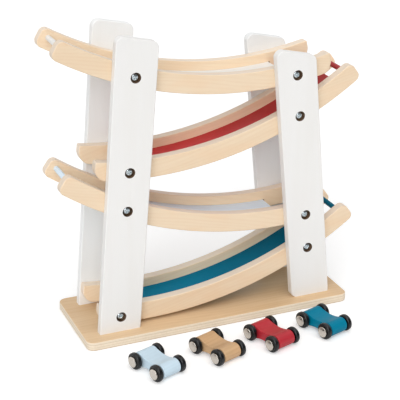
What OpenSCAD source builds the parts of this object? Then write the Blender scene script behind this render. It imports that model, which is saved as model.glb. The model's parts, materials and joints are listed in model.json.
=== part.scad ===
// Click clack track toy.
// Four curved tracks hang between two pairs of leaning posts on a plywood base plate.
// Each track slopes the other way from the one above it, so a small car runs down it,
// drops through the gap at its low end and runs back along the track below.
// Millimetres. The base plate lies on the XY plane, X runs left to right, the back is at +Y
// and the middle of the base plate's underside is the origin.

/* [Base plate] */
// Length of the base plate, left to right
base_l = 320; // [290:1:400]
// Depth of the base plate, front to back
base_w = 118; // [104:1:170]
// Thickness of the base plate
base_t = 10; // [7:0.5:16]
// Radius of the base plate's corners
base_corner_r = 9; // [2:0.5:20]

/* [Posts] */
// Width of each post, seen from the front
post_w = 47.5; // [40:0.5:56]
// Thickness of each post
post_t = 10; // [8:0.5:14]
// Lean of the posts towards the middle, in degrees
post_lean = 5; // [2:0.5:7]
// Distance between the middles of the left and the right feet
post_spread = 236; // [220:1:240]
// Height of the left posts above their top screws
post_left_over = 41; // [24:0.1:60]
// Height of the right posts above their top screws
post_right_over = 25.6; // [20:0.1:50]
// Slope of the posts' sawn tops, down to the right, in degrees
post_top_slope = 12.7; // [0:0.1:18]
// Radius of the posts' top corners
post_top_r = 8; // [1:0.5:14]
// Radius of the inner foot corner of the right posts
post_foot_r = 6; // [1:0.5:10]
// Radius of the posts' other foot corners
post_heel_r = 0.5; // [0.2:0.1:2]
// Clear space between the front and the rear posts
post_gap = 68; // [64:1:76]

/* [Tracks] */
// Radius of the rails' curved top edge
rail_r = 412; // [395:1:430]
// Height of the rails
rail_h = 21.5; // [20:0.5:24]
// Thickness of the rails
rail_t = 11.5; // [10:0.5:13]
// Turn of each rail from end to end, in degrees
rail_sweep_angle = 44.4; // [42:0.1:46]
// Radius of both corners at the rails' high end
rail_high_r = 7; // [2:0.5:9]
// Radius of the lower corner at the rails' low end
rail_low_r = 15; // [4:0.5:17]
// Radius of the upper corner at the rails' low end
rail_tip_r = 1.5; // [0.5:0.5:2.5]
// Distance of the floor strip's surface below the rails' top edge
floor_drop = 10.8; // [10:0.1:12]
// Thickness of the floor strips
floor_t = 3.5; // [2.5:0.5:5]
// Length of the drop gap, from the floor strip to the rails' low end
drop_gap = 52; // [46:1:58]
// Distance from the floor strip to the rails' high end
floor_high_gap = 23.5; // [22:0.5:28]
// Length of the groove past each end of the floor strip
groove_run = 2.2; // [0.5:0.1:4]
// Depth of the groove that holds the floor strip in each rail
groove_depth = 3.5; // [2:0.5:4]
// Diameter of the crossbar at each high end
bar_d = 6; // [4:0.5:7]
// Distance from the crossbar's middle to the rails' high end
bar_inset = 9.6; // [9:0.2:11]
// Distance of the crossbar's middle below the rails' top edge
bar_drop = 8.5; // [7:0.5:10]
// Depth of the crossbar's socket in each rail
bar_socket = 5; // [3:0.5:7]

/* [Track places] */
// Tilt of the top track, in degrees
top_tilt = 8.9; // [8:0.1:10]
// Tilt of the three lower tracks, in degrees
low_tilt = 13.8; // [13:0.1:14.4]
// Height of the bottom track's middle above the base plate
track_4_rise = 26.7; // [25:0.1:30]
// Rise from the bottom track to the third
track_3_rise = 85.7; // [84:0.1:96]
// Rise from the third track to the second
track_2_rise = 83.8; // [81:0.1:93]
// Rise from the second track to the top track
track_1_rise = 75.1; // [74:0.1:86]

/* [Screws] */
// Distance of the post screws below the rails' top edge
screw_drop = 9.6; // [8:0.1:12]
// Diameter of the counterbored holes in the posts
counterbore_d = 11.6; // [10:0.2:13]
// Depth of the screw heads' tops below the posts' faces
head_recess = 1.7; // [0.5:0.1:2.5]
// Diameter of the screw heads
head_d = 8.8; // [7:0.2:9.4]
// Height of the screw heads
head_h = 3; // [2:0.1:3.4]
// Diameter of the screws' shanks
shank_d = 4; // [3:0.1:4.5]
// Length of the post screws below their heads
post_screw_l = 11.5; // [9:0.5:12]
// Length of the base screws below their heads
base_screw_l = 26; // [16:1:34]
// Distance between the two base screws of a post
base_screw_pitch = 24; // [16:1:28]
// Width of the slots of the cross in a screw head
cross_slot_w = 1.1; // [0.6:0.1:1.4]

/* [Cars] */
// Distance between the axles
wheelbase = 35.2; // [33:0.2:42]
// Diameter of the wheels
wheel_d = 18.8; // [17.4:0.2:21]
// Width of the wheels
wheel_w = 5.7; // [4.5:0.1:6.2]
// Clear space between the body and each wheel
wheel_gap = 1.45; // [0.8:0.05:2.6]
// Rounding of the tyres' shoulders
tyre_r = 1.9; // [0.5:0.1:2]
// Width of the body
body_w = 23; // [20:0.2:24.6]
// Radius of the body's round ends
body_end_r = 8.2; // [7:0.1:8.6]
// Height of the body's waist
waist_h = 10; // [7:0.2:12]
// Diameter of the axles
axle_d = 3; // [2:0.1:4]
// Diameter of the hub caps
cap_d = 12; // [9:0.2:12.6]
// Height of the hub caps' straight sides
cap_side_h = 2.8; // [1.8:0.1:3.2]
// Rise of the hub caps' domed faces
cap_crown = 0.4; // [0.3:0.1:1]
// Diameter of the recess in the wheels' outer faces
recess_d = 14.4; // [12.8:0.2:14.8]
// Depth of the recess in the wheels' outer faces
recess_depth = 0.9; // [0.4:0.1:1.2]
// Depth of the socket in the hub caps
cap_socket = 1.4; // [0.8:0.1:1.6]

/* [Fits] */
// Clearance round glued and screwed parts
fit = 0.05; // [0.02:0.01:0.1]
// Radial clearance of an axle in the body's bore
running_fit = 0.08; // [0.03:0.01:0.1]

/* [Hidden] */
CAR_NAMES = ["blue", "natural", "red", "teal"];
TRACK_NUMBERS = [1, 2, 3, 4];
TRACK_PARTS = ["front_rail", "rear_rail", "floor", "bar"];
CAR_PARTS = ["body", "front_axle", "rear_axle", "front_caps", "rear_caps",
    "front_left_wheel", "front_right_wheel", "rear_left_wheel", "rear_right_wheel"];

// Steps of a full turn, on small rounds and on the tracks' long arcs
$fn = 64;
arc_fn = 360;
// Length by which a cut runs past the surface that it opens
overrun = floor_t / 4;
// Reach of a cutting wedge past the arc that it trims
wedge_share = 1.2;
// Growth of a corner's round, so that it crosses the sides beside it and doesn't only touch them
grip_share = 1.0003;

lacquer_white = [0.93, 0.93, 0.92];
plywood = [0.84, 0.71, 0.53];
maple = [0.93, 0.84, 0.70];
steel = [0.75, 0.76, 0.78];
tyre_black = [0.07, 0.07, 0.08];
track_colours = [[0.92, 0.91, 0.89], [0.70, 0.14, 0.17], [0.74, 0.79, 0.90], [0.06, 0.45, 0.59]];
car_colours = [[0.73, 0.84, 0.90], [0.80, 0.64, 0.46], [0.72, 0.14, 0.18], [0.06, 0.47, 0.60]];

rail_mid_r = rail_r + rail_h / 2;
rail_out_y = post_gap / 2;
rail_in_y = rail_out_y - rail_t;
floor_half_w = rail_in_y + groove_depth - fit;

// Each track: the height of its middle, its tilt, the side of its high end and its sideways place
track_4_z = base_t + track_4_rise;
track_3_z = track_4_z + track_3_rise;
track_2_z = track_3_z + track_2_rise;
track_z = [track_2_z + track_1_rise, track_2_z, track_3_z, track_4_z];
track_tilt = [top_tilt, low_tilt, low_tilt, low_tilt];
track_side = [-1, 1, -1, 1];
track_x_shares = [-0.0683, 0.078, -0.079, 0.0725];

// Each car: its place as a share of the base plate's length and depth, and its heading
car_x_shares = [-0.326, -0.1008, 0.1081, 0.3175];
car_y_shares = [-1.0415, -0.9914, -0.9592, -0.9268];
car_headings = [-70.6, -70.4, -71.9, -72.2];

wheel_r = wheel_d / 2;
// Distance between the middles of the left and the right wheels
wheel_track = body_w + 2 * wheel_gap + wheel_w;
// Distance from the car's middle to the floor of the recess in a wheel's outer face
hub_y = wheel_track / 2 + wheel_w / 2 - recess_depth;
// Radius of the sphere that the hub caps' faces are part of
cap_face_r = (pow(cap_d / 2, 2) + pow(cap_crown, 2)) / (2 * cap_crown);
counterbore_depth = head_recess + head_h;
// Radius of the hollow that joins the body's round ends, from their size and the waist
waist_r = (pow(wheelbase / 2, 2) + pow(waist_h / 2, 2) - pow(body_end_r, 2))
    / (2 * body_end_r - waist_h);

// Angle that a length takes up along the middle of a rail
function turn(length) = length / rail_mid_r * 180 / PI;
high_end = rail_sweep_angle / 2;
low_end = -rail_sweep_angle / 2;
floor_from = low_end + turn(drop_gap);
floor_to = high_end - turn(floor_high_gap);
bar_at = high_end - turn(bar_inset);

// A point at a radius and an angle from straight down, about the centre of a track's arcs
function polar(r, a) = [r * sin(a), -r * cos(a)];
// Centre of a track's arcs, as X and Z
function arc_centre(i) = [
    track_x_shares[i] * base_l - track_side[i] * rail_mid_r * sin(track_tilt[i]),
    track_z[i] + rail_mid_r * cos(track_tilt[i])];

// Where a post's centre line meets the screw of a track, as X and Z; side is -1 for the left
function screw_place(i, side) =
    let (
        c = arc_centre(i),
        lean = tan(post_lean),
        reach = post_spread / 2 - side * c[0],
        up = c[1] - base_t,
        half = lean * reach + up,
        one = 1 + lean * lean,
        screw_r = rail_r + screw_drop,
        root = sqrt(half * half - one * (reach * reach + up * up - screw_r * screw_r)),
        rise = (half - root) / one
    ) [side * (post_spread / 2 - rise * lean), base_t + rise];

// Where one edge of a post meets its sloping top, as X and height above the base plate
function post_top_corner(side, height, edge) =
    let (
        lean = -side * tan(post_lean),
        slope = tan(post_top_slope),
        foot = side * post_spread / 2,
        edge_foot = foot + edge * post_w / 2 / cos(post_lean),
        rise = (height + slope * (foot + height * lean - edge_foot)) / (1 + slope * lean)
    ) [edge_foot + rise * lean, rise];

function unit(v) = v / norm(v);
// Centre of the round that softens corner c between its neighbours p and n
function round_centre(p, c, n, r) =
    let (a = unit(p - c), b = unit(n - c), half = acos(a * b) / 2)
    c + unit(a + b) * r / sin(half);
// Where that round meets the side from c towards p
function round_start(p, c, n, r) =
    let (a = unit(p - c), b = unit(n - c), half = acos(a * b) / 2)
    c + a * r / tan(half);

// A polygon with a true round of its own radius at each corner
module rounded_polygon(points, radii) {
    count = len(points);
    corners = [for (k = [0:count - 1])
        [points[(k + count - 1) % count], points[k], points[(k + 1) % count], radii[k]]];
    polygon([for (q = corners)
        each [round_start(q[0], q[1], q[2], q[3]), round_centre(q[0], q[1], q[2], q[3]),
            round_start(q[2], q[1], q[0], q[3])]]);
    for (q = corners) translate(round_centre(q[0], q[1], q[2], q[3])) circle(q[3] * grip_share);
}

// Stands a drawing in XZ up, from y over a thickness towards the back
module upright(y, thickness) {
    translate([0, y + thickness, 0]) rotate([90, 0, 0]) linear_extrude(thickness) children();
}

// A round bar along Y, from one place to another
module along_y(from, to, diameter) {
    translate([0, from, 0]) rotate([-90, 0, 0]) cylinder(h = to - from, d = diameter);
}

// Turns a piece of the front half into its twin at the rear
module at_rear() {
    mirror([0, 1, 0]) children();
}

module base_plate() {
    x = base_l / 2;
    y = base_w / 2;
    color(plywood) difference() {
        linear_extrude(base_t)
            rounded_polygon([[-x, -y], [x, -y], [x, y], [-x, y]], [for (k = [0:3]) base_corner_r]);
        at_base_screws() {
            translate([0, 0, -overrun]) cylinder(h = base_t + 2 * overrun, d = shank_d + 2 * fit);
            translate([0, 0, -overrun]) cylinder(h = counterbore_depth + overrun, d = counterbore_d);
        }
    }
}

// Repeats its children at the places of the base screws, two under each post
module at_base_screws() {
    for (side = [-1, 1], row = [-1, 1], k = [-1, 1])
        translate([side * post_spread / 2 + k * base_screw_pitch / 2,
            row * (post_gap + post_t) / 2, 0]) children();
}

// Repeats its children where one front post is screwed to the four tracks
module at_post_screws(side) {
    for (i = [0:3])
        let (p = screw_place(i, side))
        translate([p[0], -rail_out_y - post_t, p[1]]) children();
}

module front_post(side, over) {
    foot = side * post_spread / 2;
    half = post_w / 2 / cos(post_lean);
    height = screw_place(0, side)[1] - base_t + over;
    color(lacquer_white) difference() {
        translate([0, 0, base_t]) upright(-rail_out_y - post_t, post_t)
            rounded_polygon(
                [[foot - half, 0], [foot + half, 0],
                    post_top_corner(side, height, 1), post_top_corner(side, height, -1)],
                [side > 0 ? post_foot_r : post_heel_r, post_heel_r, post_top_r, post_top_r]);
        at_post_screws(side) {
            along_y(-overrun, post_t + overrun, shank_d + 2 * fit);
            along_y(-overrun, counterbore_depth, counterbore_d);
        }
        at_base_screws()
            cylinder(h = counterbore_depth + base_screw_l + fit, d = shank_d + 2 * fit);
    }
}

// A ring sector between two radii and two angles, drawn about the middle of a rail
module ring_sector(inner, outer, from, to) {
    reach = outer * wedge_share;
    translate([0, rail_mid_r]) intersection() {
        difference() {
            circle(outer, $fn = arc_fn);
            circle(inner, $fn = arc_fn);
        }
        polygon([[0, 0], polar(reach, from), polar(reach, (from + to) / 2), polar(reach, to)]);
    }
}

// What a rail loses at one corner: end is 1 for the high end, top is 1 for the upper edge
module corner_waste(end, top, r) {
    edge = top > 0 ? rail_r : rail_r + rail_h;
    centre_r = edge + top * r;
    angle = end * high_end;
    back = end * (high_end - asin(r / centre_r));
    out = end * overrun * [cos(angle), sin(angle)];
    translate([0, rail_mid_r]) difference() {
        polygon([polar(centre_r, back), polar(edge - top * overrun, back),
            polar(edge - top * overrun, angle) + out,
            polar(sqrt(centre_r * centre_r - r * r), angle) + out]);
        translate(polar(centre_r, back)) circle(r);
    }
}

module rail_outline() {
    difference() {
        ring_sector(rail_r, rail_r + rail_h, low_end, high_end);
        corner_waste(1, 1, rail_high_r);
        corner_waste(1, -1, rail_high_r);
        corner_waste(-1, 1, rail_tip_r);
        corner_waste(-1, -1, rail_low_r);
    }
}

// Puts a piece drawn with its high end at +X in the place of a track
module in_track(i) {
    translate([track_x_shares[i] * base_l, 0, track_z[i]])
        mirror([track_side[i] < 0 ? 1 : 0, 0, 0])
        rotate([0, -track_tilt[i], 0]) children();
}

module at_bar() {
    p = polar(rail_r + bar_drop, bar_at);
    translate([p[0], 0, rail_mid_r + p[1]]) children();
}

module front_rail(i) {
    color(maple) difference() {
        in_track(i) difference() {
            upright(-rail_out_y, rail_t) rail_outline();
            upright(-rail_in_y - groove_depth, groove_depth + overrun)
                ring_sector(rail_r + floor_drop - fit, rail_r + floor_drop + floor_t + fit,
                    floor_from - turn(groove_run), floor_to + turn(groove_run));
            at_bar() along_y(-rail_in_y - bar_socket, -rail_in_y + overrun, bar_d + 2 * fit);
        }
        for (side = [-1, 1])
            at_post_screws(side)
                along_y(post_t - overrun, counterbore_depth + post_screw_l + fit, shank_d + 2 * fit);
    }
}

module track_floor(i) {
    color(track_colours[i]) in_track(i)
        upright(-floor_half_w, 2 * floor_half_w)
        ring_sector(rail_r + floor_drop, rail_r + floor_drop + floor_t, floor_from, floor_to);
}

module track_bar(i) {
    reach = rail_in_y + bar_socket - fit;
    color(track_colours[i]) in_track(i) at_bar() along_y(-reach, reach, bar_d);
}

// A pan-head screw with a cross recess; its head starts at the origin and it points along +Z
module screw(length) {
    rim = head_h / 4;
    point = shank_d / 2;
    difference() {
        union() {
            cylinder(h = rim, d1 = head_d - 2 * rim, d2 = head_d);
            translate([0, 0, rim]) cylinder(h = head_h - rim, d = head_d);
            translate([0, 0, head_h]) cylinder(h = length - point, d = shank_d);
            translate([0, 0, head_h + length - point]) cylinder(h = point, d1 = shank_d, d2 = 0);
        }
        for (spin = [45, 135])
            rotate([0, 0, spin]) translate([-head_d / 4, -cross_slot_w / 2, -overrun])
                cube([head_d / 2, cross_slot_w, overrun + head_h / 2]);
    }
}

module post_screws() {
    color(steel) for (side = [-1, 1]) {
        at_post_screws(side) translate([0, head_recess, 0]) rotate([-90, 0, 0])
            screw(post_screw_l);
        at_rear() at_post_screws(side) translate([0, head_recess, 0]) rotate([-90, 0, 0])
            screw(post_screw_l);
    }
}

module base_screws() {
    color(steel) at_base_screws() translate([0, 0, head_recess]) screw(base_screw_l);
}

// Puts a piece drawn with its front at +X, on the ground, in the place of a car
module in_car(i) {
    translate([car_x_shares[i] * base_l, car_y_shares[i] * base_w, 0])
        rotate([0, 0, car_headings[i]]) children();
}

// Moves to an axle: end is 1 for the front
module at_axle(end) {
    translate([end * wheelbase / 2, 0, wheel_r]) children();
}

// Side view of the body: two round ends joined by hollows that run into them smoothly
module body_outline() {
    end_x = wheelbase / 2;
    hollow_z = waist_h / 2 + waist_r;
    meet = unit([-end_x, hollow_z]) * body_end_r;
    x = end_x + meet[0];
    z = meet[1];
    for (end = [-1, 1]) translate([end * end_x, 0]) circle(body_end_r);
    difference() {
        polygon([[-x, -z], [x, -z], [x, z], [-x, z]]);
        for (up = [-1, 1]) translate([0, up * hollow_z]) circle(waist_r, $fn = 2 * $fn);
    }
}

module car_body(i) {
    color(car_colours[i]) in_car(i) difference() {
        translate([0, 0, wheel_r]) upright(-body_w / 2, body_w) body_outline();
        for (end = [-1, 1]) at_axle(end)
            along_y(-body_w / 2 - overrun, body_w / 2 + overrun, axle_d + 2 * running_fit);
    }
}

module car_axle(i, end) {
    reach = hub_y + cap_socket - fit;
    color(steel) in_car(i) at_axle(end) along_y(-reach, reach, axle_d);
}

// Half section of a hub cap: radius along X, with its seat at the bottom
module cap_section() {
    top = cap_side_h + cap_crown;
    difference() {
        intersection() {
            translate([0, top - cap_face_r]) circle(cap_face_r, $fn = arc_fn);
            square([cap_d / 2, top + overrun]);
        }
        translate([0, -overrun]) square([axle_d / 2 + fit, overrun + cap_socket]);
    }
}

module car_caps(i, end) {
    color(steel) in_car(i) at_axle(end) for (spin = [0, 180])
        rotate([0, 0, spin]) translate([0, hub_y, 0]) rotate([-90, 0, 0])
        rotate_extrude() cap_section();
}

// Half section of a wheel: radius along X, width along Y with the outer face at the top
module wheel_section() {
    bore_r = axle_d / 2 + fit;
    half = wheel_w / 2;
    difference() {
        union() {
            translate([bore_r, -half]) square([wheel_r - tyre_r - bore_r, wheel_w]);
            translate([bore_r, tyre_r - half]) square([wheel_r - bore_r, wheel_w - 2 * tyre_r]);
            for (up = [-1, 1]) translate([wheel_r - tyre_r, up * (half - tyre_r)]) circle(tyre_r);
        }
        translate([0, half - recess_depth]) square([recess_d / 2, recess_depth + overrun]);
    }
}

// A wheel: end is 1 for the front, side is 1 for the left
module car_wheel(i, end, side) {
    color(tyre_black) in_car(i) at_axle(end) rotate([0, 0, side > 0 ? 0 : 180])
        translate([0, wheel_track / 2, 0]) rotate([-90, 0, 0]) rotate_extrude() wheel_section();
}

base_plate();
front_post(-1, post_left_over);  // front_left_post
front_post(1, post_right_over);  // front_right_post
at_rear() front_post(-1, post_left_over);  // rear_left_post
at_rear() front_post(1, post_right_over);  // rear_right_post
for (i = [0:3]) {
    track = str("track_", TRACK_NUMBERS[i], "_");
    front_rail(i);
    at_rear() front_rail(i);
    track_floor(i);
    track_bar(i);
}
post_screws();
base_screws();
for (i = [0:3]) {
    car = str(CAR_NAMES[i], "_car_");
    car_body(i);
    car_axle(i, 1);
    car_axle(i, -1);
    car_caps(i, 1);
    car_caps(i, -1);
    car_wheel(i, 1, 1);
    car_wheel(i, 1, -1);
    car_wheel(i, -1, 1);
    car_wheel(i, -1, -1);
}
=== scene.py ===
import json
import math

import bmesh
import bpy
from bpy.props import FloatProperty, FloatVectorProperty, IntProperty, PointerProperty
from mathutils import Matrix, Vector

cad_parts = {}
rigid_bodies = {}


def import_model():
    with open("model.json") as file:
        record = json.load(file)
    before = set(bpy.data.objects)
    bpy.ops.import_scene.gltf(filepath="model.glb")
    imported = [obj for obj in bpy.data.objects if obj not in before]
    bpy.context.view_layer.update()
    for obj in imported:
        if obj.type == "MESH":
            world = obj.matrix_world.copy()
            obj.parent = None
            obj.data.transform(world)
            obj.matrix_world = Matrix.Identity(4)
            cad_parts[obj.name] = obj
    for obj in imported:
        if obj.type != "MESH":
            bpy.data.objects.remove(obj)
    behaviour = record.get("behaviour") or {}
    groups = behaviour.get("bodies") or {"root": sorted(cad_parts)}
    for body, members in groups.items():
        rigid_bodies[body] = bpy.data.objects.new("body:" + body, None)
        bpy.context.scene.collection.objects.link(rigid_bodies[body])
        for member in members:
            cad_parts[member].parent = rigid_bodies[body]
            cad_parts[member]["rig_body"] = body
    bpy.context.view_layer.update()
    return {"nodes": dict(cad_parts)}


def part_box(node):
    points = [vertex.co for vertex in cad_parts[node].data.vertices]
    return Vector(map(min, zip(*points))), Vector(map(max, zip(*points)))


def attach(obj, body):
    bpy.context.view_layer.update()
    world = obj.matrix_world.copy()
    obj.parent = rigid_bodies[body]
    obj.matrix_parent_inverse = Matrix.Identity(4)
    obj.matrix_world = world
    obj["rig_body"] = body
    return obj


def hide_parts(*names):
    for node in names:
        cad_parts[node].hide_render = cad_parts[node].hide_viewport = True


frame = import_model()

bl_info = {
    "name": "Click clack track toy",
    "version": (1, 0, 0),
    "blender": (4, 5, 0),
    "location": "3D View > Sidebar > Track Toy",
    "description": "Dresses a wooden zigzag track toy and its four cars",
    "category": "Object",
}

MM = 0.001
WELD = 0.002 * MM
CARS = ("blue", "natural", "red", "teal")
TRACKS = (1, 2, 3, 4)
ROWS = ("front", "rear")
HANDS = ("left", "right")

# Finishes. The ply tones pair a height, as a share of the base plate's thickness, with a brightness: light and
# dark plies, and at the two lowest heights painted shade where the plate stands on the floor. Gloss is the
# shader's specular level. CUT_WOODS gives a light and a dark tone, METALS a dark tone, a roughness and the
# scale of its cloud.
PLAIN = (1.0, 1.0, 1.0)
PLY_AND_FOOT_SHADE_TONES = ((0.0, 0.5), (0.07, 0.6), (0.13, 0.95), (0.3, 1.0), (0.37, 0.82), (0.44, 0.97),
             (0.63, 1.0), (0.69, 0.74), (0.75, 0.96), (0.93, 1.0), (1.0, 0.86))
# Painted light: the rear posts' lacquer is lighter and cooler than the front posts', the rear left post's most.
POST_PAINTED_LIGHT = {"front_left": PLAIN, "front_right": PLAIN,
              "rear_left": (1.07, 1.09, 1.11), "rear_right": (1.0, 1.02, 1.04)}
# Painted light: the rear rails' wood is lighter than the front rails', for their inner faces in the front
# rails' shade.
RAIL_PAINTED_LIGHT = {"front": (1.0, 1.0, 1.0, 1.0), "rear": (1.07, 1.14, 1.08, 1.14)}
TRACK_TILTS = (-8.9, 13.8, -13.8, 13.8)
FLOOR_GLOSS = (0.3, 0.3, 0.4, 0.04)
# Painted light and shade on the floors: the second and bottom floors are lighter at their low ends and darker
# at their high ends, under the track above.
FLOOR_PAINTED_LIGHT_AND_SHADE = (0.0, 0.3, 0.0, 0.35)
CAR_SLOTS = ("pale_blue_paint", "natural_wood", "red_car_paint", "teal_car_paint")
CAR_GRAIN = {"blue": 0.2, "red": 0.4, "teal": 0.4}
CAR_GLOSS = {"blue": 0.35, "red": 0.35, "teal": 0.1}
# The bored holes' tones are raw wood darkened nearly to black: painted shade inside the posts' counterbores.
CUT_WOODS = {"Drilled plywood": ((190, 150, 105), (130, 95, 60)),
             "Bored hole": ((120, 92, 66), (52, 38, 28)),
             "Routed groove": ((206, 168, 122), (150, 112, 74)),
             "Axle bore": ((170, 130, 90), (90, 64, 42))}
METALS = {"Zinc plating": ((150, 162, 172), 0.24, 1500),
          "Axle steel": ((140, 146, 150), 0.3, 900),
          "Bright cap metal": ((186, 178, 168), 0.17, 900)}
GROWTH_LINE = 3.4 * MM

# Shapes.
SCREW_LENGTHS = {"post_screws": 11.5 * MM, "base_screws": 26 * MM}
SCREW_HEAD, SCREW_RISE, SCREW_SHANK, THREAD_PITCH = 4.4 * MM, 3.0 * MM, 2.0 * MM, 1.4 * MM
WHEEL_HALF, WHEEL_DISH, ROD_HOLE = 2.85 * MM, 0.9 * MM, 1.55 * MM

# Stage.
MAIN_LAMP, TOP_LAMP = (-0.5, -0.75, 0.52), (0.1, -0.35, 1.0)
CAMERA_PLACE = ((0.92402286, 0.15005527, -0.35166058, -0.51119),
                (-0.3823153, 0.35277918, -0.85403856, -1.23266),
                (-0.00409446, 0.92359638, 0.38334445, 0.68591),
                (0, 0, 0, 1))
SENSOR, CLIP = 36, (0.01, 100)
WHITE = (1, 1, 1, 1)
FLOOR_TONES = ((0.86, 0.86, 0.86, 1), (0.88, 0.88, 0.88, 1))


def shade(red, green, blue):
    """A colour given as it shows on a screen, 0 to 255, as linear light."""
    parts = (c / 255 for c in (red, green, blue))
    return tuple(c / 12.92 if c <= 0.04045 else ((c + 0.055) / 1.055) ** 2.4 for c in parts)


def colour_property(name, description, default):
    return FloatVectorProperty(name=name, description=description, default=shade(*default),
                               subtype="COLOR", size=3, min=0, max=1)


def length_property(name, description, default):
    return FloatProperty(name=name, description=description, default=default * MM,
                         subtype="DISTANCE", unit="LENGTH", min=0, precision=4)


class ClackToyColours(bpy.types.PropertyGroup):
    lacquer: colour_property("White lacquer", "Lacquer of the posts", (238, 237, 235))
    veneer: colour_property("Plywood face", "Face veneer of the base plate", (226, 197, 160))
    ply: colour_property("Plywood edge", "Light plies on the base plate's edges", (239, 224, 202))
    rail: colour_property("Rail wood", "Pale wood of the rails", (239, 217, 188))
    rail_grain: colour_property("Rail grain", "Darker grain of the rails", (224, 191, 153))
    floor_1: colour_property("Top floor", "Paint of the top floor strip and crossbar", (238, 237, 234))
    floor_2: colour_property("Second floor", "Paint of the second floor strip and crossbar", (196, 44, 50))
    floor_3: colour_property("Third floor", "Paint of the third floor strip and crossbar", (225, 242, 255))
    floor_4: colour_property("Bottom floor", "Paint of the bottom floor strip and crossbar", (0, 118, 150))
    car_blue: colour_property("Pale blue car", "Stain of the pale blue car", (198, 219, 232))
    car_natural: colour_property("Natural car", "Bare wood of the natural car", (212, 176, 134))
    car_red: colour_property("Red car", "Stain of the red car", (183, 42, 54))
    car_teal: colour_property("Teal car", "Stain of the teal car", (0, 124, 154))
    tyre: colour_property("Wheels", "Moulded wheels", (11, 12, 14))
    cap: colour_property("Hub caps", "Pressed metal of the hub caps", (222, 215, 206))
    zinc: colour_property("Screws", "Zinc plating of the screws", (226, 236, 240))


class ClackToySizes(bpy.types.PropertyGroup):
    rail_round: length_property("Rail edges", "Radius of the rails' sanded edges", 1.2)
    post_round: length_property("Post edges", "Radius of the posts' sanded edges", 1.1)
    base_round: length_property("Base edges", "Radius of the base plate's sanded edges", 1.3)
    body_round: length_property("Car edges", "Radius of the car bodies' sanded edges", 0.9)
    cap_round: length_property("Cap edge", "Radius of the hub caps' rolled edges", 0.45)
    cap_crown: length_property("Cap crown", "Rise of the hub caps' domed faces", 0.4)
    wheel_step: length_property("Wheel step", "Width of the step in the wheels' faces", 0.55)
    cross_depth: length_property("Cross recess", "Depth of the cross recess in the screw heads", 1.5)
    segments: IntProperty(name="Edge steps", description="Steps in each rounded edge", default=4, min=1, max=8)
    turns: IntProperty(name="Turned steps", description="Steps round the wheels and caps",
                       default=96, min=16, max=256)


class ClackToyStage(bpy.types.PropertyGroup):
    floor_size: FloatProperty(name="Floor radius", description="Radius of the pale floor", default=7,
                              unit="LENGTH", min=1)
    ambient: FloatProperty(name="Soft light", description="Strength of the soft light all round",
                           default=0.52, min=0)
    key: FloatProperty(name="Main lamp", description="Strength of the broad lamp at the front left",
                       default=1.45, min=0)
    top: FloatProperty(name="Top lamp", description="Strength of the broad lamp overhead", default=0.6, min=0)
    spread: FloatProperty(name="Lamp spread", description="Angle that each lamp covers, for soft shadows",
                          default=math.radians(45), subtype="ANGLE", min=0)
    floor_lift: FloatProperty(name="Floor white", description="Light added where the camera sees the floor",
                              default=0.28, min=0, max=1)
    dark_side: FloatProperty(name="Dark side", description="Brightness of the studio's front in reflections",
                             default=0.12, min=0, max=1)
    lens: FloatProperty(name="Lens", description="Focal length of the camera", default=114.34,
                        unit="CAMERA", min=1)


class Socket:
    """An output of a shader node. Arithmetic on it adds Math nodes."""

    def __init__(self, paint, link):
        self.paint, self.link = paint, link

    def __add__(self, other):
        return self.paint.math("ADD", self, other)

    def __radd__(self, other):
        return self.paint.math("ADD", other, self)

    def __sub__(self, other):
        return self.paint.math("SUBTRACT", self, other)

    def __rsub__(self, other):
        return self.paint.math("SUBTRACT", other, self)

    def __mul__(self, other):
        return self.paint.math("MULTIPLY", self, other)

    def __rmul__(self, other):
        return self.paint.math("MULTIPLY", other, self)

    def __truediv__(self, other):
        return self.paint.math("DIVIDE", self, other)

    def __rtruediv__(self, other):
        return self.paint.math("DIVIDE", other, self)

    def __abs__(self):
        return self.paint.math("ABSOLUTE", self)


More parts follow.
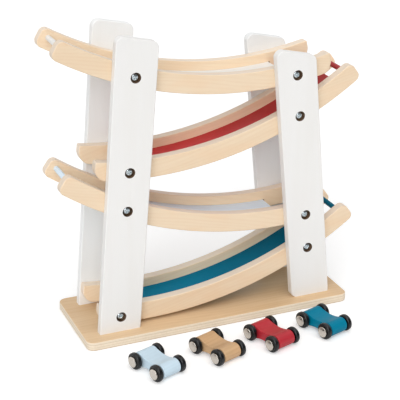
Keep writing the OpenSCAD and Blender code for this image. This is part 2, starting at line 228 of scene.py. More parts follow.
class Paint:
    """One node tree. Every node comes from node(), and Math nodes from arithmetic on sockets."""

    def __init__(self, tree):
        self.tree = tree
        tree.nodes.clear()

    def node(self, kind, settings=None, inputs=None, output=0):
        made = self.tree.nodes.new(kind)
        for name, value in (settings or {}).items():
            if name == "stops":
                ramp = made.color_ramp
                while len(ramp.elements) > len(value):
                    ramp.elements.remove(ramp.elements[-1])
                for k, (at, colour) in enumerate(value):
                    stop = ramp.elements[k] if k < len(ramp.elements) else ramp.elements.new(at)
                    stop.position, stop.color = at, colour
            else:
                setattr(made, name, value)
        for key, value in (inputs or {}).items():
            if isinstance(value, Socket):
                self.tree.links.new(value.link, made.inputs[key])
            else:
                made.inputs[key].default_value = value
        return Socket(self, made.outputs[output]) if made.outputs else None

    def math(self, operation, *values):
        return self.node("ShaderNodeMath", {"operation": operation}, dict(enumerate(values)))

    def vector(self, operation, *values):
        return self.node("ShaderNodeVectorMath", {"operation": operation}, dict(enumerate(values)))

    def mix(self, first, second, share):
        return self.node("ShaderNodeMix", {"data_type": "RGBA"}, {0: share, 6: first, 7: second}, 2)

    def place(self, shift=(0, 0, 0)):
        here = self.node("ShaderNodeTexCoord", output="Object")
        return self.vector("ADD", here, shift)

    def facing(self, axis):
        """How squarely a surface faces along an axis, 0 to 1."""
        return abs(self.part(self.node("ShaderNodeTexCoord", output="Normal"), axis))

    def stretch(self, vector, *shares):
        return self.vector("MULTIPLY", vector, shares)

    def part(self, vector, axis):
        return self.node("ShaderNodeSeparateXYZ", inputs={0: vector}, output=axis)

    def noise(self, vector, scale, detail, roughness=0.5):
        return self.node("ShaderNodeTexNoise", inputs={
            "Vector": vector, "Scale": scale, "Detail": detail, "Roughness": roughness})

    def spread(self, value, low, high, first=0.0, second=1.0):
        return self.node("ShaderNodeMapRange", {"interpolation_type": "SMOOTHSTEP"}, {
            0: value, 1: low, 2: high, 3: first, 4: second})

    def bump(self, height, distance, strength):
        return self.node("ShaderNodeBump", inputs={
            "Height": height, "Distance": distance, "Strength": strength})

    def surface(self, **inputs):
        named = {name.replace("_", " ").title().replace("Ior", "IOR"): v for name, v in inputs.items()}
        shader = self.node("ShaderNodeBsdfPrincipled", inputs=named)
        self.node("ShaderNodeOutputMaterial", inputs={"Surface": shader})


def new_paint(name):
    """An empty material and its node tree."""
    material = bpy.data.materials.new(name)
    material.use_nodes = True
    return material, Paint(material.node_tree)


def solid(colour, lift=1.0):
    """A colour, lightened by lift and kept within white, with full opacity."""
    return tuple(min(1.0, c * lift) for c in colour) + (1.0,)


def tinted(colour, shares):
    """A colour with its red, green and blue each multiplied by its own share."""
    return tuple(c * share for c, share in zip(colour, shares))


def grain(paint, lean=0.0, turn=0.0, shift=(0, 0, 0)):
    """Masks of planed wood with its grain along X, turned about Y and Z: broad tone, growth lines and pores."""
    here = paint.place(shift)
    for axis, angle in (("Z_AXIS", -turn), ("Y_AXIS", lean)):
        if angle:
            here = paint.node("ShaderNodeVectorRotate", {"rotation_type": axis},
                              {"Vector": here, "Angle": angle})
    along = paint.stretch(here, 0.07, 1.0, 1.0)
    broad = paint.noise(along, 55, 2)
    wander = paint.noise(paint.stretch(here, 0.25, 1.0, 1.0), 28, 1)
    across = paint.part(here, 2) * 0.8 + paint.part(here, 1) * 0.55 + wander * 0.018
    line = paint.math("SINE", across * (2 * math.pi / GROWTH_LINE))
    lines = paint.spread(line, -0.4, 1.0) * paint.noise(along, 160, 2)
    pores = paint.noise(paint.stretch(here, 0.035, 1.0, 1.0), 1500, 3, 0.6)
    return broad, lines, pores


def wood_finish(name, light, dark, lean=0.0, turn=0.0, shift=(0, 0, 0), figure=0.55, grey_edge_share=0.0):
    """Planed bare wood with warmer patches; faces that don't face along Y, its edges and ends, are greyer and
    cooler by the given share.
    """
    material, paint = new_paint(name)
    broad, lines, pores = grain(paint, lean, turn, shift)
    tone = paint.spread(broad, 0.3, 0.7) * 0.45 + lines * 0.45 + paint.spread(pores, 0.45, 0.75) * 0.3
    colour = paint.mix(solid(light), solid(dark), tone * figure)
    patch = paint.noise(paint.stretch(paint.place(shift), 0.45, 1.0, 1.0), 50, 1)
    warmer, greyer = tinted(light, (0.99, 0.87, 0.77)), tinted(light, (0.89, 0.96, 1.12))
    colour = paint.mix(colour, solid(warmer), paint.spread(patch, 0.45, 0.7, 0.0, 0.35))
    # Faces that don't face along Y, the edges and ends, turn greyer and cooler.
    if grey_edge_share:
        colour = paint.mix(colour, solid(greyer), paint.spread(paint.facing(1), 0.3, 0.75, grey_edge_share, 0.0))
    paint.surface(base_color=colour, roughness=paint.spread(pores, 0.3, 0.8, 0.42, 0.56),
                  normal=paint.bump(pores * 0.6 + lines * 0.4, 0.06 * MM, 0.5))
    return material


def cut_wood_finish(name):
    """Raw, unsanded wood inside a drilled hole or a groove. The bored holes' wood is darkened as painted shade.
    """
    material, paint = new_paint(name)
    light, dark = (solid(shade(*tone)) for tone in CUT_WOODS[name])
    rough = paint.noise(paint.place(), 900, 4, 0.65)
    colour = paint.mix(light, dark, paint.spread(rough, 0.3, 0.7))
    paint.surface(base_color=colour, roughness=0.8, normal=paint.bump(rough, 0.15 * MM, 0.6))
    return material


def paint_finish(name, colour, show_grain, gloss, turn=0.0, shift=(0, 0, 0), roughness=0.36, pale=0.0,
                 painted_light_and_shade=0.0):
    """Coloured paint on wood: the grain shows through a little and the tone drifts. It may carry painted light
    towards -X and painted shade towards +X.
    """
    material, paint = new_paint(name)
    broad, lines, pores = grain(paint, turn=turn, shift=shift)
    cloud = paint.noise(paint.place(shift), 40, 3)
    tone = paint.spread(cloud, 0.3, 0.7) * 0.4 + lines * 0.5 + paint.spread(pores, 0.5, 0.8) * 0.5
    mixed = paint.mix(solid(colour, 1.0 + pale), solid(colour, 0.62), tone * show_grain)
    if painted_light_and_shade:
        # Painted light at the low end, towards -X, and painted shade at the high end, towards +X, where the
        # track above shades the floor.
        run = paint.part(paint.place(), 0)
        light = paint.mix(mixed, solid(colour, 1.35), paint.spread(run, -0.12, 0.04, 0.6, 0.1))
        mixed = paint.mix(light, solid(colour, 1 - painted_light_and_shade * 1.3), paint.spread(run, -0.04, 0.13) * 0.8)
    paint.surface(base_color=mixed, specular_ior_level=gloss,
                  roughness=paint.spread(cloud, 0.2, 0.8, roughness - 0.04, roughness + 0.08),
                  normal=paint.bump(pores * 0.5 + lines * 0.3 + cloud * 0.2, 0.05 * MM, 0.5))
    return material


def lacquer_finish(name, colour):
    """White sprayed lacquer on boards: a faint ripple and barely any grain."""
    material, paint = new_paint(name)
    here = paint.place()
    broad = paint.noise(paint.stretch(here, 1.0, 1.0, 0.12), 60, 2)
    ripple = paint.noise(here, 420, 2)
    fibre = paint.noise(paint.stretch(here, 1.0, 1.0, 0.04), 900, 3)
    mixed = paint.mix(solid(colour), solid(tinted(colour, (0.93, 0.91, 0.88))),
                      paint.spread(broad, 0.35, 0.75) * 0.25 + paint.spread(fibre, 0.5, 0.8) * 0.12)
    paint.surface(base_color=mixed, roughness=paint.spread(ripple, 0.2, 0.8, 0.32, 0.44),
                  normal=paint.bump(ripple * 0.5 + fibre * 0.5, 0.05 * MM, 0.5))
    return material


def plywood_finish(name, face, edge, thickness):
    """Face veneer above and below, and glued plies on the edges, light and dark by the ply tones, with painted
    shade along the foot of the edges.
    """
    material, paint = new_paint(name)
    here = paint.place()
    broad, lines, pores = grain(paint, shift=(0.031, 0.004, 0.0))
    flow = paint.noise(paint.stretch(here, 0.12, 1.0, 1.0), 26, 2)
    tone = (paint.spread(broad, 0.3, 0.7) * 0.4 + paint.spread(flow, 0.35, 0.7) * 0.45 + lines * 0.4
            + paint.spread(pores, 0.45, 0.75) * 0.25)
    veneer = paint.mix(solid(face, 1.08), solid(tinted(face, (0.86, 0.76, 0.62))), tone * 0.75)
    warm = paint.spread(paint.part(here, 0), -0.16, 0.1, 0.22, 0.0)
    veneer = paint.mix(veneer, solid(tinted(face, (0.8, 0.74, 0.66))), warm)
    wobble = paint.noise(here, 35, 2)
    height = paint.part(here, 2) / thickness + (wobble - 0.5) * 0.06
    # The lowest stops darken the foot of the edges as painted shade where the plate stands on the floor.
    stops = [(at, solid(tinted(edge, (tone, tone ** 1.25, tone ** 1.6)))) for at, tone in PLY_AND_FOOT_SHADE_TONES]
    ply_and_foot_shade = paint.node("ShaderNodeValToRGB", {"stops": stops}, {0: height})
    ends = paint.noise(paint.stretch(here, 1.0, 1.0, 0.3), 1400, 2)
    plies = paint.mix(ply_and_foot_shade, solid(tinted(edge, (0.8, 0.7, 0.58))), paint.spread(ends, 0.35, 0.8, 0.0, 0.35))
    side = 1 - paint.spread(paint.facing(2), 0.55, 0.8)
    colour = paint.mix(veneer, plies, side)
    paint.surface(base_color=colour, roughness=paint.spread(pores, 0.3, 0.8, 0.42, 0.56),
                  normal=paint.bump(pores * 0.5 + ends * side * 0.5, 0.08 * MM, 0.5))
    return material


def moulded_finish(name, colour):
    """Glossy moulded plastic with fine scuffs."""
    material, paint = new_paint(name)
    here = paint.place()
    cloud = paint.noise(here, 300, 3)
    scuff = paint.noise(paint.stretch(here, 1.0, 1.0, 0.2), 2200, 2)
    mixed = paint.mix(solid(colour, 0.8), solid(tinted(colour, (1.3, 1.6, 1.9))),
                      paint.spread(cloud, 0.35, 0.7) * 0.7)
    paint.surface(base_color=mixed, roughness=paint.spread(scuff, 0.3, 0.8, 0.24, 0.38),
                  normal=paint.bump(scuff, 0.03 * MM, 0.4))
    return material


def metal_finish(name, colour):
    """Plated metal with a faint cloud and fine marks."""
    material, paint = new_paint(name)
    dark, roughness, scale = METALS[name]
    here = paint.place()
    cloud = paint.noise(here, scale, 3)
    marks = paint.noise(paint.stretch(here, 1.0, 1.0, 0.15), scale * 4, 2)
    mixed = paint.mix(solid(colour), solid(shade(*dark)), paint.spread(cloud, 0.35, 0.75) * 0.4)
    paint.surface(base_color=mixed, metallic=1.0,
                  roughness=paint.spread(marks, 0.3, 0.8, roughness - 0.05, roughness + 0.07),
                  normal=paint.bump(marks, 0.02 * MM, 0.4))
    return material


def settle(piece, node, slot, *materials):
    """Puts finishes on a piece, makes it move with its node's body, and lets it stand for that node."""
    for material in materials:
        piece.data.materials.append(material)
    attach(piece, frame["nodes"][node]["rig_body"])
    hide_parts(node)


def cover(node, material):
    """Gives a piece of the frame its finish and leaves its shape alone."""
    mesh = frame["nodes"][node].data
    mesh.materials.clear()
    mesh.materials.append(material)


def object_from(bm, name, sharp=40):
    """A smooth-shaded object from a bmesh, with creases where faces meet at more than sharp degrees."""
    for face in bm.faces:
        face.smooth = True
    mesh = bpy.data.meshes.new(name)
    bm.to_mesh(mesh)
    bm.free()
    mesh.set_sharp_from_angle(angle=math.radians(sharp))
    piece = bpy.data.objects.new(name, mesh)
    bpy.context.scene.collection.objects.link(piece)
    return piece


def even_normals(piece):
    """Keeps large flat faces flat to the light, so that only the rounded edges shade off."""
    weighted = piece.modifiers.new("Even normals", "WEIGHTED_NORMAL")
    weighted.keep_sharp = True
    weighted.weight = 80


def sanded_board(name, node, across, radius, segments, keep=None, tidy=None):
    """A board with the outline of its node and rounded outer edges. Holes and grooves get the second finish."""
    bm = bmesh.new()
    bm.from_mesh(frame["nodes"][node].data)
    bmesh.ops.remove_doubles(bm, verts=bm.verts, dist=WELD)
    if tidy:
        tidy(bm)
    bmesh.ops.dissolve_limit(bm, angle_limit=math.radians(0.5), verts=bm.verts, edges=bm.edges)
    bm.normal_update()
    depths = [v.co.dot(across) for v in bm.verts]
    near, far, slack = min(depths), max(depths), 0.01 * MM

    def is_flat(face):
        return abs(face.normal.dot(across)) > 0.9

    outer = set()
    for face in bm.faces:
        reach = [v.co.dot(across) for v in face.verts]
        low, high = min(reach), max(reach)
        if is_flat(face):
            outside = low < near + slack or high > far - slack
        else:
            outside = high - low > (far - near) * 0.99
        if outside:
            outer.add(face)
        face.material_index = 0 if outside else 1
    edges = []
    for edge in bm.edges:
        faces = edge.link_faces
        if len(faces) == 2 and all(f in outer for f in faces) and is_flat(faces[0]) != is_flat(faces[1]):
            if keep is None or keep(edge):
                edges.append(edge)
    if not edges:
        raise RuntimeError(f"{node} has no outer edges to round")
    bmesh.ops.bevel(bm, geom=edges, offset=radius, offset_type="OFFSET", segments=segments, profile=0.5,
                    affect="EDGES", clamp_overlap=False)
    piece = object_from(bm, name)
    even_normals(piece)
    return piece


def turned(bm, profile, centre, axis, steps):
    """Adds a solid of revolution. The profile is (radius, distance along the axis) pairs, in order."""
    basis = axis.to_track_quat("Z", "Y").to_matrix()
    rings = []
    for radius, along in profile:
        if radius < 1e-7:
            rings.append([bm.verts.new(centre + axis * along)])
            continue
        ring = []
        for k in range(steps):
            angle = 2 * math.pi * k / steps
            spot = Vector((radius * math.cos(angle), radius * math.sin(angle), along))
            ring.append(bm.verts.new(centre + basis @ spot))
        rings.append(ring)
    for lower, upper in zip(rings, rings[1:]):
        for k in range(steps):
            a, b = lower[k % len(lower)], lower[(k + 1) % len(lower)]
            c, d = upper[(k + 1) % len(upper)], upper[k % len(upper)]
            corners = [v for n, v in enumerate((a, b, c, d)) if v not in (a, b, c, d)[:n]]
            bm.faces.new(corners)


def centre_of(node):
    """The middle of a node's box."""
    low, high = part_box(node)
    return (low + high) / 2


def car_side(car):
    """Unit vector from a car's right to its left."""
    way = centre_of(f"{car}_car_front_left_wheel") - centre_of(f"{car}_car_front_right_wheel")
    way.z = 0
    return way.normalized()


def arc(centre, radius, start, end, steps):
    """Points of an arc between two angles in degrees, as (radius, along) pairs for turned()."""
    out = []
    for k in range(steps + 1):
        a = math.radians(start + (end - start) * k / steps)
        out.append((centre[0] + radius * math.cos(a), centre[1] + radius * math.sin(a)))
    return out


class CLACKTOY_OT_base_plate(bpy.types.Operator):
    """Dress the plywood base plate"""
    bl_idname = "clacktoy.base_plate"
    bl_label = "Base plate"

    def execute(self, context):
        colours, sizes = context.scene.clack_colours, context.scene.clack_sizes
        low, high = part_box("base_plate")
        plywood = plywood_finish("Plywood", colours.veneer, colours.ply, high.z - low.z)
        piece = sanded_board("Plywood_base_plate", "base_plate", Vector((0, 0, 1)), sizes.base_round,
                             sizes.segments)
        settle(piece, "base_plate", "plywood", plywood, cut_wood_finish("Drilled plywood"))
        return {"FINISHED"}


class CLACKTOY_OT_posts(bpy.types.Operator):
    """Dress the four white posts"""
    bl_idname = "clacktoy.posts"
    bl_label = "Posts"

    def execute(self, context):
        colours, sizes = context.scene.clack_colours, context.scene.clack_sizes
        # Raw wood darkened as painted shade inside the post holes.
        bored = cut_wood_finish("Bored hole")
        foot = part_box("base_plate")[1].z
        heel_height, heel_reach, foot_edge = 0.7 * MM, 1.2 * MM, 0.3 * MM

        def square_heels(bm):
            """Draws the few points of each small rounding at the foot into one square corner."""
            spots = {}
            for v in bm.verts:
                if v.co.z < foot + heel_height:
                    spots.setdefault((round(v.co.y / MM), round(v.co.x / MM / 4)), []).append(v)
            for found in spots.values():
                reach = max(v.co.x for v in found) - min(v.co.x for v in found)
                if len(found) > 2 and reach < heel_reach:
                    highest = max(found, key=lambda v: abs(v.co.z - foot))
                    corner = Vector((highest.co.x, found[0].co.y, foot))
                    bmesh.ops.pointmerge(bm, verts=found, merge_co=corner)

        def above_foot(edge):
            return max(v.co.z for v in edge.verts) > foot + foot_edge

        for row in ROWS:
            for hand in HANDS:
                node = f"{row}_{hand}_post"
                # The rear posts' lacquer is lightened and cooled as painted light.
                lacquer_with_painted_light = tinted(colours.lacquer, POST_PAINTED_LIGHT[f"{row}_{hand}"])
                white = lacquer_finish(f"Lacquer of {node}", lacquer_with_painted_light)
                piece = sanded_board(f"White_{node}", node, Vector((0, 1, 0)), sizes.post_round, sizes.segments,
                                     keep=above_foot, tidy=square_heels)
                settle(piece, node, "white_lacquer", white, bored)
        return {"FINISHED"}


class CLACKTOY_OT_rails(bpy.types.Operator):
    """Dress the eight curved rails"""
    bl_idname = "clacktoy.rails"
    bl_label = "Rails"

    def execute(self, context):
        colours, sizes = context.scene.clack_colours, context.scene.clack_sizes
        raw = cut_wood_finish("Routed groove")
        for track, tilt in zip(TRACKS, TRACK_TILTS):
            shift = (0.13 * track, 0.002 * track, 0.011 * track)
            for row in ROWS:
                # The rear rails' wood is lightened by its lift as painted light.
                node, lift = f"track_{track}_{row}_rail", RAIL_PAINTED_LIGHT[row][track - 1]
                light, dark = (solid(tone, lift)[:3] for tone in (colours.rail, colours.rail_grain))
                wood = wood_finish(f"Wood of {node}", light, dark, lean=math.radians(tilt), shift=shift,
                                   grey_edge_share=0.7)
                piece = sanded_board(f"Curved_{node}", node, Vector((0, 1, 0)), sizes.rail_round,
                                     sizes.segments)
                settle(piece, node, "light_wood", wood, raw)
        return {"FINISHED"}


class CLACKTOY_OT_floors(bpy.types.Operator):
    """Dress the painted floor strips and crossbars"""
    bl_idname = "clacktoy.floors"
    bl_label = "Floor strips and crossbars"

    def execute(self, context):
        colours = context.scene.clack_colours
        for track, gloss, painted_light_and_shade in zip(TRACKS, FLOOR_GLOSS, FLOOR_PAINTED_LIGHT_AND_SHADE):
            colour = getattr(colours, f"floor_{track}")
            finish = paint_finish(f"Floor paint {track}", colour, show_grain=0.22, gloss=gloss,
                                  shift=(0.2 * track, 0, 0), roughness=0.42, painted_light_and_shade=painted_light_and_shade)
            cover(f"track_{track}_floor", finish)
            cover(f"track_{track}_bar", finish)
        return {"FINISHED"}


class CLACKTOY_OT_screws(bpy.types.Operator):
    """Make the pan-head cross screws of the posts and the base plate"""
    bl_idname = "clacktoy.screws"
    bl_label = "Screws"

    def screw(self, length):
        """One screw with its head's seat at the origin and its point along +Z."""
        bm = bmesh.new()
        rim, steps, point = 0.28, 8, 2 * MM
        profile = [(0, -SCREW_RISE)]
        for k in range(1, steps + 1):
            a = math.radians(90 * k / steps)
            rise = SCREW_RISE * (rim + (1 - rim) * math.cos(a) ** 0.9)
            profile.append((SCREW_HEAD * math.sin(a) ** 0.8, -rise))
        profile += [(SCREW_HEAD * 0.96, -0.1 * MM), (SCREW_HEAD * 0.9, 0), (SCREW_SHANK * 0.95, 0)]
        root, at = SCREW_SHANK * 0.72, 0.6 * MM
        while at + THREAD_PITCH < length - point - 0.2 * MM:
            profile += [(root, at), (SCREW_SHANK, at + THREAD_PITCH * 0.35), (root, at + THREAD_PITCH * 0.7)]
            at += THREAD_PITCH
        profile += [(SCREW_SHANK * 0.7, length - point), (0, length)]
        turned(bm, profile, Vector(), Vector((0, 0, 1)), 40)
        return object_from(bm, "Screw_blank", 50)

    def cross(self, depth):
        """The tapered cross that is cut out of a head."""
        bm = bmesh.new()
        mouth = (-SCREW_RISE - 0.4 * MM, 2.8 * MM, 0.78 * MM)
        bottom = (-SCREW_RISE + depth, 1.3 * MM, 0.36 * MM)
        for turn in (45, 135):
            spin = Matrix.Rotation(math.radians(turn), 3, "Z")
            corners = []
            for z, long, wide in (mouth, bottom):
                for x, y in ((-long, -wide), (long, -wide), (long, wide), (-long, wide)):
                    corners.append(bm.verts.new(spin @ Vector((x, y, z))))
            for face in ((0, 1, 2, 3), (7, 6, 5, 4), (0, 4, 5, 1), (1, 5, 6, 2), (2, 6, 7, 3), (3, 7, 4, 0)):
                bm.faces.new([corners[k] for k in face])
        bmesh.ops.recalc_face_normals(bm, faces=bm.faces)
        return object_from(bm, "Cross_blank")

    def execute(self, context):
        colours, sizes = context.scene.clack_colours, context.scene.clack_sizes
        zinc = metal_finish("Zinc plating", colours.zinc)
        for node, length in SCREW_LENGTHS.items():
            blank, cutter = self.screw(length), self.cross(sizes.cross_depth)
            cut = blank.modifiers.new("Cross recess", "BOOLEAN")
            cut.operation, cut.object, cut.solver = "DIFFERENCE", cutter, "EXACT"
            cut.use_self = True
            context.view_layer.update()
            shaped = bpy.data.meshes.new_from_object(blank.evaluated_get(context.evaluated_depsgraph_get()))
            bm = bmesh.new()
            for place in self.places(node):
                start = len(bm.verts)
                bm.from_mesh(shaped)
                bm.verts.ensure_lookup_table()
                bmesh.ops.transform(bm, matrix=place, verts=bm.verts[start:])
            for spare in (blank, cutter):
                bpy.data.objects.remove(spare)
            piece = object_from(bm, node.capitalize(), 50)
            settle(piece, node, "zinc_steel", zinc)
        return {"FINISHED"}

    def places(self, node):
        """Where each screw of a node stands, from the loose parts of its mesh."""
        bm = bmesh.new()
        bm.from_mesh(frame["nodes"][node].data)
        bmesh.ops.remove_doubles(bm, verts=bm.verts, dist=WELD)
        seen, out = set(), []
        for start in bm.verts:
            if start in seen:
                continue
            group, stack = [], [start]
            seen.add(start)
            while stack:
                v = stack.pop()
                group.append(v.co.copy())
                for e in v.link_edges:
                    other = e.other_vert(v)
                    if other not in seen:
                        seen.add(other)
                        stack.append(other)
            low = Vector(map(min, *group))
            high = Vector(map(max, *group))
            middle, span = (low + high) / 2, high - low
            if node == "post_screws":
                way = Vector((0, -1 if middle.y > 0 else 1, 0))
            else:
                way = Vector((0, 0, 1))
            head = middle - way * (span.dot(Vector(map(abs, way))) / 2)
            seat = head + way * SCREW_RISE
            aim = way.to_track_quat("Z", "Y").to_matrix().to_4x4()
            spin = Matrix.Rotation(len(out) * 0.7, 4, "Z")
            out.append(Matrix.Translation(seat) @ aim @ spin)
        bm.free()
        return out


class CLACKTOY_OT_car_bodies(bpy.types.Operator):
    """Dress the four dumbbell car bodies"""
    bl_idname = "clacktoy.car_bodies"
    bl_label = "Car bodies"

    def execute(self, context):
        colours, sizes = context.scene.clack_colours, context.scene.clack_sizes
        raw = cut_wood_finish("Axle bore")
        for k, (car, slot) in enumerate(zip(CARS, CAR_SLOTS)):
            node, side = f"{car}_car_body", car_side(car)
            turn = math.atan2(side.y, side.x)
            colour = getattr(colours, f"car_{car}")
            shift = (0.3 * k, 0.1 * k, 0.05)
            if car == "natural":
                finish = wood_finish("Natural car wood", colour, tinted(colour, (0.66, 0.56, 0.46)),
                                     turn=turn, shift=shift, figure=0.8)
            else:
                finish = paint_finish(f"{car.title()} car stain", colour, CAR_GRAIN[car], CAR_GLOSS[car],
                                      turn=turn, shift=shift, pale=0.04)
            piece = sanded_board(f"{car.title()}_car_block", node, side, sizes.body_round, sizes.segments)
            settle(piece, node, slot, finish, raw)
        return {"FINISHED"}


class CLACKTOY_OT_axles(bpy.types.Operator):
    """Finish the steel axle rods"""
    bl_idname = "clacktoy.axles"
    bl_label = "Axles"

    def execute(self, context):
        steel = metal_finish("Axle steel", context.scene.clack_colours.zinc)
        for car in CARS:
            for end in ROWS:
                cover(f"{car}_car_{end}_axle", steel)
        return {"FINISHED"}


class CLACKTOY_OT_wheels(bpy.types.Operator):
    """Turn the sixteen black wheels"""
    bl_idname = "clacktoy.wheels"
    bl_label = "Wheels"

    def execute(self, context):
        colours, sizes = context.scene.clack_colours, context.scene.clack_sizes
        plastic = moulded_finish("Black plastic", colours.tyre)
        for car in CARS:
            side = car_side(car)
            for end in ROWS:
                for hand in HANDS:
                    node = f"{car}_car_{end}_{hand}_wheel"
                    low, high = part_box(node)
                    way = side if hand == "left" else -side
                    profile = self.section((high.z - low.z) / 2, sizes.wheel_step)
                    bm = bmesh.new()
                    turned(bm, profile, (low + high) / 2, way, sizes.turns)
                    bmesh.ops.remove_doubles(bm, verts=bm.verts, dist=WELD / 2)
                    bmesh.ops.recalc_face_normals(bm, faces=bm.faces)
                    piece = object_from(bm, f"{car.title()}_car_{end}_{hand}_tyre", 32)
                    settle(piece, node, "black_plastic", plastic)
        return {"FINISHED"}

    def section(self, radius, step):
        """A wheel's closed half section, its outer face first: dish and step, rounded tread, grooved back."""
        shoulder, recess, groove, ease, rim = 1.9 * MM, 7.2 * MM, 0.35 * MM, 0.1 * MM, 0.15 * MM
        half, well = WHEEL_HALF, WHEEL_HALF - WHEEL_DISH
        inner = recess - step
        face = [(ROD_HOLE, well), (inner - ease, well), (inner, well + ease), (inner, half - WHEEL_DISH * 0.55),
                (inner + ease, half - WHEEL_DISH * 0.45), (recess - ease, half - WHEEL_DISH * 0.45),
                (recess, half - WHEEL_DISH * 0.35), (recess, half - rim), (recess + rim, half)]
        tread = (arc((radius - shoulder, half - shoulder), shoulder, 90, 0, 8)
                 + arc((radius - shoulder, shoulder - half), shoulder, 0, -90, 8))
        back = [(6.4 * MM, -half), (6.2 * MM, groove - half), (3.4 * MM, groove - half), (3.2 * MM, -half),
                (ROD_HOLE + rim, -half), (ROD_HOLE, rim - half)]
        return face + tread + back + face[:1]


class CLACKTOY_OT_hub_caps(bpy.types.Operator):
    """Press the domed hub caps"""
    bl_idname = "clacktoy.hub_caps"
    bl_label = "Hub caps"

    def execute(self, context):
        colours, sizes = context.scene.clack_colours, context.scene.clack_sizes
        chrome = metal_finish("Bright cap metal", colours.cap)
        for car in CARS:
            side = car_side(car)
            for end in ROWS:
                node = f"{car}_car_{end}_caps"
                wheel = {hand: centre_of(f"{car}_car_{end}_{hand}_wheel") for hand in HANDS}
                low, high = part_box(node)
                face = max(v.co.dot(side) for v in frame["nodes"][node].data.vertices)
                profile = self.section((high.z - low.z) / 2, face - wheel["left"].dot(side), sizes)
                bm = bmesh.new()
                for hand, way in (("left", side), ("right", -side)):
                    turned(bm, profile, wheel[hand], way, sizes.turns)
                bmesh.ops.recalc_face_normals(bm, faces=bm.faces)
                piece = object_from(bm, f"{car.title()}_car_{end}_hub_caps", 40)
                settle(piece, node, "cap_chrome", chrome)
        return {"FINISHED"}

    def section(self, radius, reach, sizes):
        """A cap's half section from its foot in the wheel's dish to the top of its crown."""
        foot, ease, steps = WHEEL_HALF - WHEEL_DISH, 0.12 * MM, 12
        edge, crown = sizes.cap_round, sizes.cap_crown
        flat = radius - edge
        ball = (flat ** 2 + crown ** 2) / (2 * crown)
        out = [(ROD_HOLE, foot), (radius - ease, foot), (radius, foot + ease)]
        out += arc((flat, reach - crown - edge), edge, 0, 90, 5)
        for k in range(1, steps):
            r = flat * (1 - k / steps)
            out.append((r, reach - ball + math.sqrt(ball ** 2 - r * r)))
        return out + [(0, reach)]


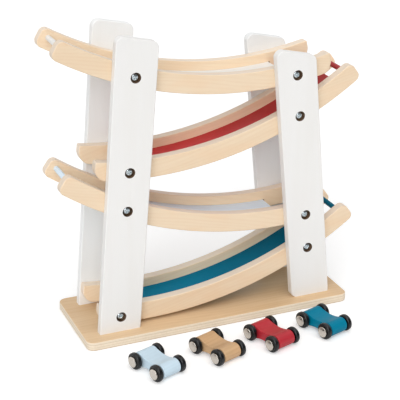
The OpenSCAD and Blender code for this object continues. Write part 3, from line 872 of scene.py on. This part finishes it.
class CLACKTOY_OT_stage(bpy.types.Operator):
    """Set up the pale floor, the soft light and the camera"""
    bl_idname = "clacktoy.stage"
    bl_label = "Floor, light and camera"

    def execute(self, context):
        stage = context.scene.clack_stage
        self.floor(context, stage)
        self.world(context, stage)
        self.lamp(context, "Main lamp", stage.key, MAIN_LAMP, stage.spread)
        self.lamp(context, "Top lamp", stage.top, TOP_LAMP, stage.spread)
        camera = bpy.data.objects.new("Camera", bpy.data.cameras.new("Camera"))
        context.scene.collection.objects.link(camera)
        camera.data.lens, camera.data.sensor_width = stage.lens, SENSOR
        camera.data.clip_start, camera.data.clip_end = CLIP
        camera.matrix_world = Matrix(CAMERA_PLACE)
        context.scene.camera = camera
        context.scene.view_settings.view_transform = "Standard"
        return {"FINISHED"}

    def floor(self, context, stage):
        """A matt floor that keeps the toy's shadow and is lifted to white where the camera sees it."""
        bm = bmesh.new()
        bmesh.ops.create_circle(bm, cap_ends=True, radius=stage.floor_size, segments=128)
        ground = object_from(bm, "Floor")
        material, paint = new_paint("Pale floor")
        sweep = paint.noise(paint.place(), 3, 2)
        pale = paint.mix(*FLOOR_TONES, sweep)
        seen = paint.node("ShaderNodeLightPath", output="Is Camera Ray")
        matt = paint.node("ShaderNodeBsdfDiffuse", inputs={"Color": pale})
        lift = paint.node("ShaderNodeEmission", inputs={"Color": WHITE, "Strength": seen * stage.floor_lift})
        both = paint.node("ShaderNodeAddShader", inputs={0: matt, 1: lift})
        paint.node("ShaderNodeOutputMaterial", inputs={"Surface": both})
        ground.data.materials.append(material)

    def world(self, context, stage):
        """Soft light from a pale studio, white to the camera and with a darker front in reflections."""
        world = bpy.data.worlds.new("Studio")
        context.scene.world = world
        world.use_nodes = True
        paint = Paint(world.node_tree)
        camera, glossy, clear = (paint.node("ShaderNodeLightPath", output=f"Is {kind} Ray")
                                 for kind in ("Camera", "Glossy", "Transmission"))
        way = paint.node("ShaderNodeTexCoord", output="Generated")
        behind = paint.spread(paint.part(way, 1), -0.35, 0.05, stage.dark_side, 1.0)
        above = paint.spread(paint.part(way, 2), 0.75, 0.95)
        room = paint.math("MAXIMUM", behind, above)
        seen = paint.math("MAXIMUM", camera, clear)
        dome = (0.72 + paint.part(way, 2) * 0.5) * stage.ambient
        strength = seen + glossy * room + (1 - paint.math("MAXIMUM", seen, glossy)) * dome
        light = paint.node("ShaderNodeBackground", inputs={"Color": WHITE, "Strength": strength})
        paint.node("ShaderNodeOutputWorld", inputs={"Surface": light})

    def lamp(self, context, name, strength, place, spread):
        data = bpy.data.lights.new(name, "SUN")
        data.energy, data.angle = strength, spread
        lamp = bpy.data.objects.new(name, data)
        context.scene.collection.objects.link(lamp)
        lamp.location = place
        lamp.rotation_mode = "QUATERNION"
        lamp.rotation_quaternion = (-Vector(place)).to_track_quat("-Z", "Y")


OPERATORS = (CLACKTOY_OT_base_plate, CLACKTOY_OT_posts, CLACKTOY_OT_rails, CLACKTOY_OT_floors,
             CLACKTOY_OT_screws, CLACKTOY_OT_car_bodies, CLACKTOY_OT_axles, CLACKTOY_OT_wheels,
             CLACKTOY_OT_hub_caps, CLACKTOY_OT_stage)


class CLACKTOY_PT_panel(bpy.types.Panel):
    """Colours, sizes and steps of the track toy"""
    bl_idname = "CLACKTOY_PT_panel"
    bl_label = "Click clack track toy"
    bl_space_type = "VIEW_3D"
    bl_region_type = "UI"
    bl_category = "Track Toy"

    def draw(self, context):
        for group in (context.scene.clack_colours, context.scene.clack_sizes, context.scene.clack_stage):
            box = self.layout.box()
            for name in group.__annotations__:
                box.prop(group, name)
        for operator in OPERATORS:
            self.layout.operator(operator.bl_idname)


GROUPS = (("clack_colours", ClackToyColours), ("clack_sizes", ClackToySizes), ("clack_stage", ClackToyStage))


def register():
    for name, group in GROUPS:
        bpy.utils.register_class(group)
        setattr(bpy.types.Scene, name, PointerProperty(type=group))
    for operator in OPERATORS:
        bpy.utils.register_class(operator)
    bpy.utils.register_class(CLACKTOY_PT_panel)


def unregister():
    bpy.utils.unregister_class(CLACKTOY_PT_panel)
    for operator in reversed(OPERATORS):
        bpy.utils.unregister_class(operator)
    for name, group in reversed(GROUPS):
        delattr(bpy.types.Scene, name)
        bpy.utils.unregister_class(group)


def main():
    register()
    for operator in OPERATORS:
        group, name = operator.bl_idname.split(".")
        getattr(getattr(bpy.ops, group), name)()


if __name__ == "__main__":
    main()
